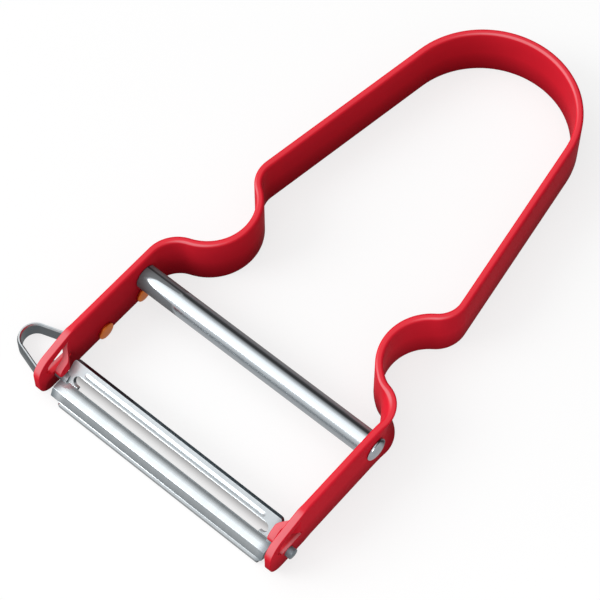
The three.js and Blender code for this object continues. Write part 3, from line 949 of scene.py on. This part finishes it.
# Shade under the blade's back wing: across in units of 50 mm, with SHADE_MIDDLE at the middle,
# and from front to back in centimetres, from SHADE_Y centimetres in front of the origin.
SHADE_MIDDLE = 0.5
SHADE_Y = 10.6
SHADE_PAST = [(0.0, 1.0), (0.02, 0.0), (0.5, 0.0), (0.92, 0.5), (0.97, 1.0)]
SHADE_UNDER = [(0.34, 1.0), (0.39, 0.86), (0.50, 0.40), (0.62, 0.36), (0.78, 1.0)]

# World: brightness by angle from +Y over +Z to -Y, in degrees, and its factor from left to right.
GLOW_BACK_TO_FRONT = [
    (0, 0.05),
    (28, 0.06),
    (45, 0.2),
    (58, 0.44),
    (71, 0.72),
    (84, 1.35),
    (135, 1.45),
    (147, 0.75),
    (180, 0.58),
]
GLOW_ACROSS = [(0.0, 1.1), (0.35, 1.0), (0.6, 0.8), (0.8, 0.5), (1.0, 0.32)]

# Lamps: name, place, target and size in metres, and power in watts.
LAMPS = (
    ("key", (-0.40, -0.50, 0.45), (0, -0.06, 0), 0.4, 2.4),
    ("fill", (0.16, -0.12, 0.02), (0.027, -0.09, 0.005), 0.04, 0.05),
)

# Camera: place in metres, lens and sensor in millimetres, angles in degrees.
CAMERA_PLACE = (0.13074, -0.22315, 0.36522)
CAMERA_LENS = 142.15
CAMERA_SENSOR = 36.0
CAMERA_AZIMUTH = 40.284
CAMERA_ELEVATION = 60.319


def wing_shade(tree):
    """Shade on the paper under the blade's back wing."""
    past = ramp(tree, measure(tree, (ACROSS, 0, 0), SHADE_MIDDLE), SHADE_PAST)
    under = ramp(tree, measure(tree, (0, CENTIMETRES, 0), SHADE_Y), SHADE_UNDER)
    return vector(tree, "MAXIMUM", past, under)


def floor():
    """White paper to the eye, greyer where it lights the piece from below."""
    half = FLOOR_HALF
    corners = [(-half, -half, 0), (half, -half, 0), (half, half, 0), (-half, half, 0)]
    obj = mesh_object("floor", corners, [(0, 1, 2, 3)])
    material, tree, shader = nodes_of("floor_paper")
    tree.nodes.remove(shader)
    path = add(tree, "ShaderNodeLightPath")
    seen = path.outputs["Is Camera Ray"]
    bent = number(tree, "MAXIMUM", path.outputs["Is Glossy Ray"], path.outputs["Is Transmission Ray"])
    share = number(tree, "MULTIPLY_ADD", bent, MIRROR_WHITE, number(tree, "MULTIPLY", seen, CAMERA_WHITE))
    shadow = wing_shade(tree)
    paper = add(tree, "ShaderNodeBsdfDiffuse")
    tree.links.new(multiplied(tree, ramp(tree, seen, PAPER), shadow), paper.inputs["Color"])
    white = add(tree, "ShaderNodeEmission")
    tree.links.new(shadow, white.inputs["Color"])
    blend = add(tree, "ShaderNodeMixShader")
    feed(tree, blend, (share, paper.outputs["BSDF"], white.outputs["Emission"]))
    tree.links.new(blend.outputs["Shader"], tree.nodes["Material Output"].inputs["Surface"])
    obj.data.materials.append(material)


def world():
    """Studio: bright overhead, grey in front, dark low at the back, dimmer on the right."""
    made = bpy.data.worlds.new("studio")
    bpy.context.scene.world = made
    made.use_nodes = True
    tree = made.node_tree
    up = measure(tree, (0, 0, 1), kind="Generated")
    back = measure(tree, (0, 1, 0), kind="Generated")
    turn = number(tree, "DIVIDE", number(tree, "ARCTAN2", up, back), math.pi)
    glow = ramp(tree, turn, [(angle / 180, value) for angle, value in GLOW_BACK_TO_FRONT])
    side = ramp(tree, measure(tree, (0.5, 0, 0), 0.5, "Generated"), GLOW_ACROSS)
    tree.links.new(multiplied(tree, glow, side), tree.nodes["Background"].inputs["Color"])


def place_object(name, data, place, direction):
    """Adds a lamp or camera that looks along a direction."""
    obj = bpy.data.objects.new(name, data)
    bpy.context.scene.collection.objects.link(obj)
    obj.location = place
    obj.rotation_mode = "QUATERNION"
    obj.rotation_quaternion = direction.to_track_quat("-Z", "Y")
    return obj


def lamp(name, place, target, size, power):
    data = bpy.data.lights.new(name, "AREA")
    data.shape = "DISK"
    data.size = size
    data.energy = power
    place_object(name, data, place, Vector(target) - Vector(place))


def camera():
    """Stands where the photograph was taken from."""
    data = bpy.data.cameras.new("camera")
    data.sensor_width = CAMERA_SENSOR
    data.lens = CAMERA_LENS
    azimuth, elevation = math.radians(CAMERA_AZIMUTH), math.radians(CAMERA_ELEVATION)
    back = Vector((
        math.sin(azimuth) * math.cos(elevation),
        -math.cos(azimuth) * math.cos(elevation),
        math.sin(elevation),
    ))
    bpy.context.scene.camera = place_object("camera", data, CAMERA_PLACE, -back)


floor()
world()
for lamp_values in LAMPS:
    lamp(*lamp_values)
camera()
bpy.context.scene.view_settings.view_transform = "Standard"

bpy.context.view_layer.update()
